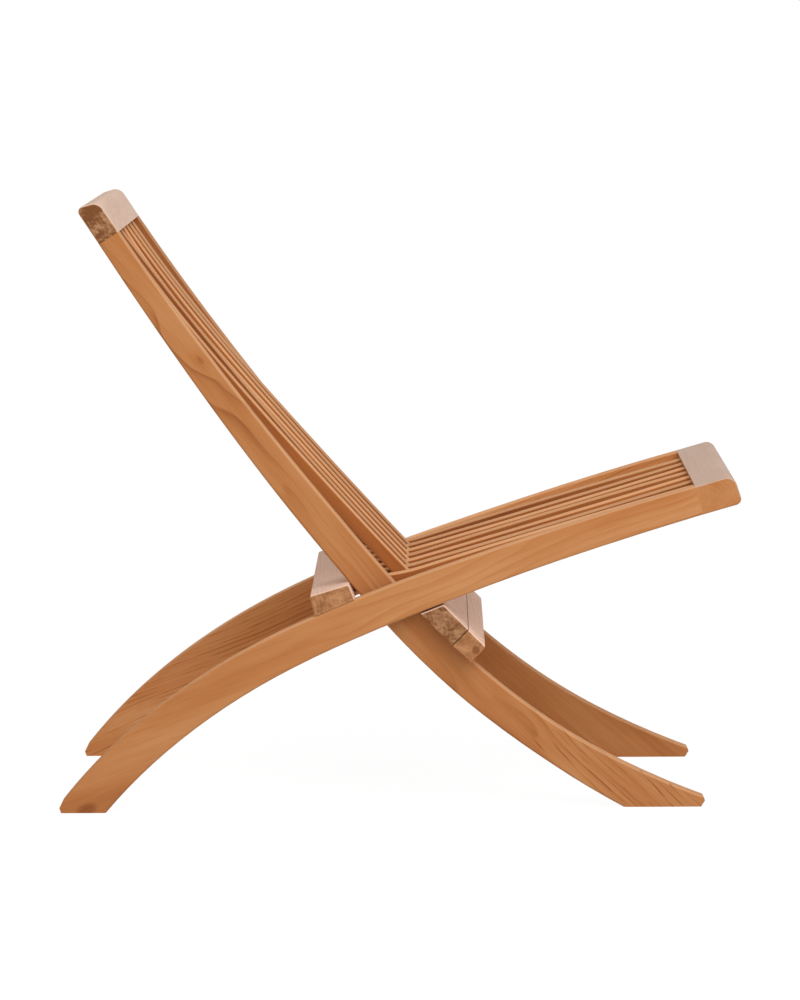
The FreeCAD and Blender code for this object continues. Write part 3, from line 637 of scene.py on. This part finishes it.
    # sawn ends are darker and blotched
    stain = total(centred("blot"), centred("patch"), times(line, 0.6), times(core, 0.9))
    stain = maths(tree, "ADD", stain, END_STAIN, clamp=True)
    ground = mixed(times(given["End"], times(given["End depth"], END_GROUND), clamp=True), with_sheen, given["End ground"])
    share = times(given["End"], times(stain, given["End depth"]), clamp=True)
    ended = mixed(share, ground, given["End colour"])
    seamed = minus(1.0, times(given["Seam"], SEAM_SHADE))
    toned = vectors(tree, "SCALE", vectors(tree, "MULTIPLY", ended, given["Tone"]), seamed)

    out = tree.nodes.new("NodeGroupOutput").inputs
    tree.links.new(toned, out["Colour"])
    tree.links.new(total(given["Roughness"], times(fibre, 0.3), times(given["End"], 0.2)), out["Roughness"])
    tree.links.new(minus(total(times(fibre, 0.8), times(marks, 2.0)), times(pores, 0.35)), out["Height"])
    return tree


UPWARD = Vector((0.42, 0, 0.91))    # where the faces with a painted sheen look

# how far a face must look one way to count a little, and in full
SIDEWAYS = (0.55, 0.95)
ENDWAYS = (0.72, 0.93)
UPWARDS = (0.25, 0.62)

SLAT_SHIFT = (7.0, 0.9, 1.7)        # how far apart the boards of two slats can be
SLAT_TONE, SLAT_TONES = 0.88, 0.24  # the darkest slat's tone, and how much lighter the lightest is
SIDE_SHADE = (0.20, 0.32, 0.44)      # painted shade: red, green and blue that the sides of a slat lose, for the shade between slats
SIDE_SHADE_DEPTH = 0.30                   # painted shade: what they gain in depth, darker and redder
SEAM_WIDTH = (0.0009, 0.0004)       # half the width of a seam, soft and dark
RELIEF = 0.0004                     # height of the wood's relief


def teak(name, turn, seed, pith, tilt, tone=1.0, figure=0.6, ring=0.006, depth=0.3, end_depth=1.0, upper=0.75,
         face_sheen=False, sheen_gain=1.0, slatted=False, bump=0.25, knot=(0, 0, 0), knot_size=0.0, knot_depth=0.4,
         marks=(0, 0, 0), mark_depth=0.0, seam=None, bend=(0, 0, 0), wander=0.0, veins=0.0, vein_start=-100,
         darker_ends=None):
    """Teak of one piece. Turn takes the piece's axes to its board, whose x runs along the grain.

    Knot and seam are places on the piece; a seam has a direction across it too.
    Marks are how many saw marks cross a metre of each of the board's axes.
    Bend is where along the board the grain begins to bend, and how fast.
    Darker ends are a middle along the board, two distances from it and what the depth gains between them."""
    wood = bpy.context.scene.folding_chair_teak
    material = bpy.data.materials.new(name)
    tree = emptied(material)
    place = node(tree, "ShaderNodeTexCoord").outputs["Object"]
    normal = node(tree, "ShaderNodeTexCoord").outputs["Normal"]
    board = node(tree, "ShaderNodeMapping", {"Vector": place, "Location": seed, "Rotation": turn},
                 vector_type="POINT").outputs[0]
    to_board = Euler(turn).to_matrix()
    shade = (tone, tone, tone)
    if slatted:
        chance = node(tree, "ShaderNodeAttribute", attribute_name="slat", attribute_type="GEOMETRY").outputs["Fac"]
        board = vectors(tree, "ADD", board, vectors(tree, "SCALE", SLAT_SHIFT, chance))
        # painted shade: faces that look across the chair, the sides of slats between their neighbours, are darker and
        # redder
        across = maths(tree, "ABSOLUTE", vectors(tree, "DOT_PRODUCT", normal, (0, 1, 0)))
        side_shade = ramp(tree, across, *SIDEWAYS)
        own = maths(tree, "ADD", maths(tree, "MULTIPLY", chance, SLAT_TONES), SLAT_TONE)
        light = vectors(tree, "SUBTRACT", shade, vectors(tree, "SCALE", SIDE_SHADE, side_shade))
        shade = vectors(tree, "SCALE", light, own)
        depth = maths(tree, "ADD", maths(tree, "MULTIPLY", side_shade, SIDE_SHADE_DEPTH), depth)
    if darker_ends:
        middle, near, far, gain = darker_ends
        away = maths(tree, "ABSOLUTE", maths(tree, "SUBTRACT", parts(tree, board)[0], middle))
        depth = ramp(tree, away, near, far, depth, depth + gain)
    grain = to_board.inverted() @ Vector((1, 0, 0))
    end = ramp(tree, maths(tree, "ABSOLUTE", vectors(tree, "DOT_PRODUCT", normal, grain)), *ENDWAYS)
    # painted sheen: how much of the paler top colour an upward face gets
    up = ramp(tree, vectors(tree, "DOT_PRODUCT", normal, UPWARD), *UPWARDS, 0.0, upper)
    gap = 0.0
    if seam:
        joint, direction = (Vector(value) for value in seam)
        apart = maths(tree, "ABSOLUTE", maths(tree, "SUBTRACT", vectors(tree, "DOT_PRODUCT", place, direction),
                                              joint.dot(direction)))
        gap = ramp(tree, apart, *SEAM_WIDTH)
    # painted sheen: the paler colour of upper edges or of upper faces, made stronger for some pieces
    top_colour = Vector(wood.face_sheen if face_sheen else wood.edge_sheen) * sheen_gain
    colours = {"Pale": wood.pale, "Middle": wood.middle, "Dark": wood.dark, "End ground": wood.sawn_end,
               "End colour": wood.end, "Upper colour": top_colour}
    figured = node(tree, "ShaderNodeGroup", node_tree=bpy.data.node_groups.get("sawn_teak") or teak_group())
    for key, value in {
            "Board": board, "Pith": pith, "Pith tilt": tilt, "Bend": bend, "Wander": wander, "Veins": veins,
            "Vein start": vein_start, "Ring width": ring, "Figure": figure, "Depth": depth,
            "Knot": to_board @ Vector(knot) + Vector(seed), "Knot size": knot_size, "Knot depth": knot_depth,
            "Marks": marks, "Mark depth": mark_depth, "End": end, "End depth": end_depth, "Upper": up,
            "Seam": gap, "Tone": shade, "Roughness": wood.roughness,
            **{key: (*colour, 1) for key, colour in colours.items()}}.items():
        put(tree, value, figured.inputs[key])
    relief = node(tree, "ShaderNodeBump", {
        "Strength": bump, "Distance": RELIEF, "Height": figured.outputs["Height"]})
    finished(tree, node(tree, "ShaderNodeBsdfPrincipled", {
        "Base Color": figured.outputs["Colour"], "Roughness": figured.outputs["Roughness"],
        "Normal": relief.outputs[0], "IOR": 1.45, "Specular IOR Level": 0.12}))
    return material


def wear(names, material):
    """Gives a material to carried-over nodes."""
    for name in names:
        piece = frame["nodes"][name]
        for slot in piece.material_slots:
            slot.material = material


BRUSHED = (60, 900, 900)    # how often the brushed lines change in a metre along and across a bolt


def metal(name, colour, roughness):
    """Brushed metal, a little rougher and darker in places."""
    material = bpy.data.materials.new(name)
    tree = emptied(material)
    place = node(tree, "ShaderNodeTexCoord").outputs["Object"]
    fine = node(tree, "ShaderNodeTexNoise", {
        "Vector": vectors(tree, "MULTIPLY", place, BRUSHED), "Scale": 1.0, "Detail": 3.0}).outputs[0]
    finished(tree, node(tree, "ShaderNodeBsdfPrincipled", {
        "Base Color": vectors(tree, "SCALE", colour, ramp(tree, fine, start=0.85, end=1.1)),
        "Roughness": ramp(tree, fine, start=roughness - 0.08, end=roughness + 0.12), "Metallic": 1.0}))
    return material


# turns from each frame's axes to its boards
SEAT_GRAIN = (0, math.radians(21), 0)
BACK_GRAIN = (0, math.radians(-50), 0)
CROSS_GRAIN = (0, 0, math.radians(-90))

# where the two planks meet, and the direction across that joint
PLANK_JOINT = PIVOT + Vector((0.07868, 0, -0.05055))
PLANK_WAY = Vector((0.7032, 0, -0.7110)).normalized()

# grain, seed, pith, pith tilt and the rest of each rail's teak
RAILS = {
    "seat_rail_right": (SEAT_GRAIN, (0, 0, 0), (0, -0.33, -0.1), (0, 0.05, 0.02), {
        "ring": 0.017, "depth": 0.18, "figure": 0.34, "wander": 0.085, "tone": 0.92,
        "knot": (-0.392, -0.2485, 0.004), "knot_size": 0.009, "darker_ends": (0.07, 0.24, 0.38, 0.11)}),
    "seat_rail_left": (SEAT_GRAIN, (2, 0, 0), (0, 0.12, -0.2), (0, 0.04, 0.02), {
        "ring": 0.010, "depth": 0.20, "figure": 0.6, "wander": 0.035, "tone": 1.08, "veins": 0.5,
        "darker_ends": (2.0, 0.25, 0.42, 0.24)}),
    "back_rail_right": (BACK_GRAIN, (3.815, 0, 0), (0, 0, -0.25), (0, 0, 0), {
        "ring": 0.014, "depth": 0.29, "figure": 0.70, "wander": 0.085, "tone": 0.88, "veins": 0.55,
        "vein_start": 3.815, "bend": (3.615, 0.26, 0), "knot": (-0.246, -0.219, 0.565), "knot_size": 0.004,
        "knot_depth": 0.24, "darker_ends": (4.0, 0.78, 0.95, 0.17)}),
    "back_rail_left": (BACK_GRAIN, (6, 0, 0), (0, 0, -0.3), (0, 0, 0), {
        "ring": 0.009, "depth": 0.38, "figure": 0.15, "tone": 0.95, "bend": (5.8, 0.26, 0),
        "darker_ends": (6.185, 0.60, 0.90, 0.30)}),
}

# teak of the cross pieces; each is sawn from a new place along its board
# the painted sheen on the upper faces is set for each piece
BLOCKS = {
    "seat_nose": {"figure": 0.3, "depth": 0.18, "end_depth": 0.05, "sheen_gain": 0.90, "tone": 0.89},
    "back_top_cap": {"figure": 0.3, "end_depth": 2.1, "upper": 0.97, "sheen_gain": 1.2, "tone": 0.86},
    "seat_rear_block": {"figure": 0.4, "sheen_gain": 1.22},
    "support_plank_upper": {"figure": 0.5, "end_depth": 1.75, "sheen_gain": 1.42, "tone": 0.87,
                            "seam": (PLANK_JOINT, PLANK_WAY)},
    "support_plank_lower": {"figure": 0.5, "end_depth": 0.9, "sheen_gain": 1.36, "seam": (PLANK_JOINT, PLANK_WAY),
                            "marks": (31.0, 0, 48.0), "mark_depth": 0.14,
                            "knot": (0.095, -0.2485, 0.203), "knot_size": 0.006},
}
BLOCK_SHIFT = 0.7               # along the board from one block to the next
BLOCK_PITH = (0.03, -0.025)     # from a block's middle to the pith


def seen_directly(tree):
    """1 where the camera looks, also in a mirror or through glass, and 0 for the light that falls on things."""
    ray = node(tree, "ShaderNodeLightPath").outputs
    return maths(tree, "MAXIMUM", ray["Is Camera Ray"],
                 maths(tree, "MAXIMUM", ray["Is Glossy Ray"], ray["Is Transmission Ray"]))


class CHAIR_OT_stage(bpy.types.Operator):
    """Makes the floor, the light and the camera"""
    bl_idname = "folding_chair.stage"
    bl_label = "Stage"

    def execute(self, context):
        given = context.scene.folding_chair_stage
        bpy.ops.mesh.primitive_plane_add(size=given.floor_size)
        floor = context.object
        floor.name = "floor"
        material = bpy.data.materials.new("floor")
        tree = emptied(material)
        matt = node(tree, "ShaderNodeBsdfDiffuse", {"Color": (*given.floor_colour, 1)})
        white = node(tree, "ShaderNodeEmission", {"Color": (1, 1, 1, 1), "Strength": given.floor_white})
        share = maths(tree, "MULTIPLY", seen_directly(tree), given.floor_share)
        finished(tree, node(tree, "ShaderNodeMixShader", {0: share, 1: matt.outputs[0], 2: white.outputs[0]}))
        floor.data.materials.append(material)

        world = context.scene.world = bpy.data.worlds.new("studio")
        tree = emptied(world)
        strength = ramp(tree, seen_directly(tree), start=given.world_light)
        finished(tree, node(tree, "ShaderNodeBackground", {"Color": (1, 1, 1, 1), "Strength": strength}), "World")

        lamp = bpy.data.lights.new("large_lamp", "AREA")
        lamp.shape = "RECTANGLE"
        lamp.size = lamp.size_y = given.lamp_size
        lamp.energy = given.lamp_power
        light = shown("large_lamp", lamp)
        light.location = given.lamp_place
        light.rotation_euler = (Vector(given.lamp_aim) - light.location).to_track_quat("-Z", "Y").to_euler()

        camera = bpy.data.cameras.new("camera")
        camera.lens = given.lens
        camera.sensor_fit = "HORIZONTAL"
        camera.sensor_width = 36
        camera.clip_end = 100
        eye = shown("camera", camera)
        eye.location = given.camera_place
        eye.rotation_euler = given.camera_turn
        context.scene.camera = eye
        context.scene.view_settings.view_transform = "Standard"
        return {"FINISHED"}


class CHAIR_OT_seat_slats(bpy.types.Operator):
    """Makes the seat's slats from the rear block to the nose"""
    bl_idname = "folding_chair.seat_slats"
    bl_label = "Seat slats"

    def execute(self, context):
        given = context.scene.folding_chair_slats
        rear, bend, front = (PIVOT + Vector(place) for place in (given.seat_rear, given.seat_bend, given.seat_front))
        bend_start = bend + (rear - bend).normalized() * given.seat_bend_length
        bend_end = bend + (front - bend).normalized() * given.seat_bend_length
        host = line_curve("seat_slats", [rear, bend_start, bend_end, front], [
            rear.lerp(bend_start, 1 / 3), rear.lerp(bend_start, 2 / 3), bend_start.lerp(bend, 2 / 3),
            bend_end.lerp(bend, 2 / 3), bend_end.lerp(front, 1 / 3), bend_end.lerp(front, 2 / 3)])
        first = (bend - rear).length
        length = first + (front - bend).length
        wood = teak("seat_slat_teak", SEAT_GRAIN, (0.3, 0.1, 0.2), (0, 0.05, 0.03), (0, 0.02, 0.01), slatted=True,
                    figure=0.3, bump=0.04)
        slats("seat_slats", host, {
            "Slats": len(SEAT_SLATS), "First": SEAT_FIRST, "Pitch": SLAT_PITCH, "Thickness": SLAT_THICKNESS,
            "Depth": given.depth, "Rounding": given.rounding, "Step": given.step, "Fade": 1.0,
            "Bow start": (first + given.seat_bend_length) / length, "Bow end": 1.0, "Bow skew": 0.0,
            "Bows": given.seat_bows, "Start slant": 0.293, "End slant": -0.008,
            "Slant reach": given.slant_reach, "Seed": 4, "Wood": wood,
        }, SEAT_SLATS, "seat_frame")
        return {"FINISHED"}


class CHAIR_OT_back_slats(bpy.types.Operator):
    """Makes the back's slats from the cap to the upper plank"""
    bl_idname = "folding_chair.back_slats"
    bl_label = "Back slats"

    def execute(self, context):
        given = context.scene.folding_chair_slats
        top, knot, foot = (PIVOT + Vector(place) for place in (given.back_top, given.back_knot, given.back_foot))
        handles = []
        for i, (start, end) in enumerate(((top, knot), (knot, foot))):
            along = (end - start).normalized()
            rearward = Vector((along.z, 0, -along.x))
            for j in (0, 1):
                handles.append(start.lerp(end, (j + 1) / 3) + rearward * given.back_hollow[2 * i + j])
        host = line_curve("back_slats", [top, knot, foot], handles)
        upper, lower = (knot - top).length, (foot - knot).length
        wood = teak("back_slat_teak", BACK_GRAIN, (0.7, 0.2, 0.1), (0, 0.06, -0.02), (0, 0.015, 0.01),
                    slatted=True, figure=0.3, bump=0.04)
        slats("back_slats", host, {
            "Slats": len(BACK_SLATS), "First": BACK_FIRST, "Pitch": SLAT_PITCH, "Thickness": SLAT_THICKNESS,
            "Depth": given.depth, "Rounding": given.rounding, "Step": given.step, "Fade": given.back_fade,
            "Bow start": 0.0, "Bow end": upper / (upper + lower), "Bow skew": given.back_skew,
            "Bows": given.back_bows, "Start slant": -0.012, "End slant": -0.4205,
            "Slant reach": given.slant_reach, "Seed": 9, "Wood": wood,
        }, BACK_SLATS, "back_frame")
        return {"FINISHED"}


class CHAIR_OT_rails(bpy.types.Operator):
    """Gives the four curved rails their sawn teak"""
    bl_idname = "folding_chair.rails"
    bl_label = "Rails"

    def execute(self, context):
        for name, (turn, seed, pith, tilt, details) in RAILS.items():
            wear([name], teak(name + "_teak", turn, seed, pith, tilt, **details))
        return {"FINISHED"}


class CHAIR_OT_blocks(bpy.types.Operator):
    """Makes the rounded nose and cap, and gives them, the rear block and the planks their sawn teak"""
    bl_idname = "folding_chair.blocks"
    bl_label = "Blocks"

    def execute(self, context):
        ends = context.scene.folding_chair_ends
        bars = {"seat_nose": ("nose", NOSE, (ends.nose_top, ends.nose_low), ends.nose_arris, "seat_frame"),
                "back_top_cap": ("cap", CAP, (ends.cap_top, ends.cap_top), ends.cap_arris, "back_frame")}
        for number, (name, details) in enumerate(BLOCKS.items()):
            low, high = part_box(name)
            pith = (0, -(low[0] + high[0]) / 2 + BLOCK_PITH[0], (low[2] + high[2]) / 2 + BLOCK_PITH[1])
            wood = teak(name + "_teak", CROSS_GRAIN, (number * BLOCK_SHIFT, 0, 0), pith, (0, 0.02, 0.01),
                        ring=0.005, face_sheen=True, **{"upper": 0.95, **details})
            if name in bars:
                own, outline, rounds, arris, body = bars[name]
                bar = rounded_bar(own, outline, rounds, arris, high[1])
                bar.data.materials.append(wood)
                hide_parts(name)
                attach(bar, body)
            else:
                wear([name], wood)
        return {"FINISHED"}


class CHAIR_OT_fittings(bpy.types.Operator):
    """Gives the dowels, bolts, inserts, washers and sleeves their finish"""
    bl_idname = "folding_chair.fittings"
    bl_label = "Fittings"

    def execute(self, context):
        given = context.scene.folding_chair_fittings
        beech = teak("beech", CROSS_GRAIN, (3, 0, 0), (0, 0.05, 0.03), (0, 0.02, 0.01), tone=1.15, figure=0.2)
        wear([name for name in frame["nodes"] if name.endswith("_dowels")], beech)
        for name, colour, roughness, kinds in (
                ("steel", given.steel, given.steel_roughness, ("bolt", "washer")),
                ("brass", given.brass, given.brass_roughness, ("insert", "sleeve"))):
            wear(["pivot_%s_%s" % (kind, side) for kind in kinds for side in SIDES],
                 metal(name, Vector(colour), roughness))
        return {"FINISHED"}


OPERATORS = (CHAIR_OT_stage, CHAIR_OT_seat_slats, CHAIR_OT_back_slats, CHAIR_OT_rails, CHAIR_OT_blocks,
             CHAIR_OT_fittings)


class CHAIR_PT_panel(bpy.types.Panel):
    """Lists the chair's steps and settings"""
    bl_idname = "CHAIR_PT_panel"
    bl_label = "Folding chair"
    bl_space_type = "VIEW_3D"
    bl_region_type = "UI"
    bl_category = "Chair"

    def draw(self, context):
        for kind in OPERATORS:
            self.layout.operator(kind.bl_idname)
        for name in SETTINGS:
            group = getattr(context.scene, name)
            for field in group.bl_rna.properties:
                if field.identifier not in ("rna_type", "name"):
                    self.layout.prop(group, field.identifier)


def register():
    for kind in (*SETTINGS.values(), *OPERATORS, CHAIR_PT_panel):
        bpy.utils.register_class(kind)
    for name, kind in SETTINGS.items():
        setattr(bpy.types.Scene, name, bpy.props.PointerProperty(type=kind))


def unregister():
    for name in SETTINGS:
        delattr(bpy.types.Scene, name)
    for kind in (CHAIR_PT_panel, *reversed(OPERATORS), *reversed(SETTINGS.values())):
        bpy.utils.unregister_class(kind)


def main():
    register()
    for kind in OPERATORS:
        section, action = kind.bl_idname.split(".")
        getattr(getattr(bpy.ops, section), action)()


if __name__ == "__main__":
    main()
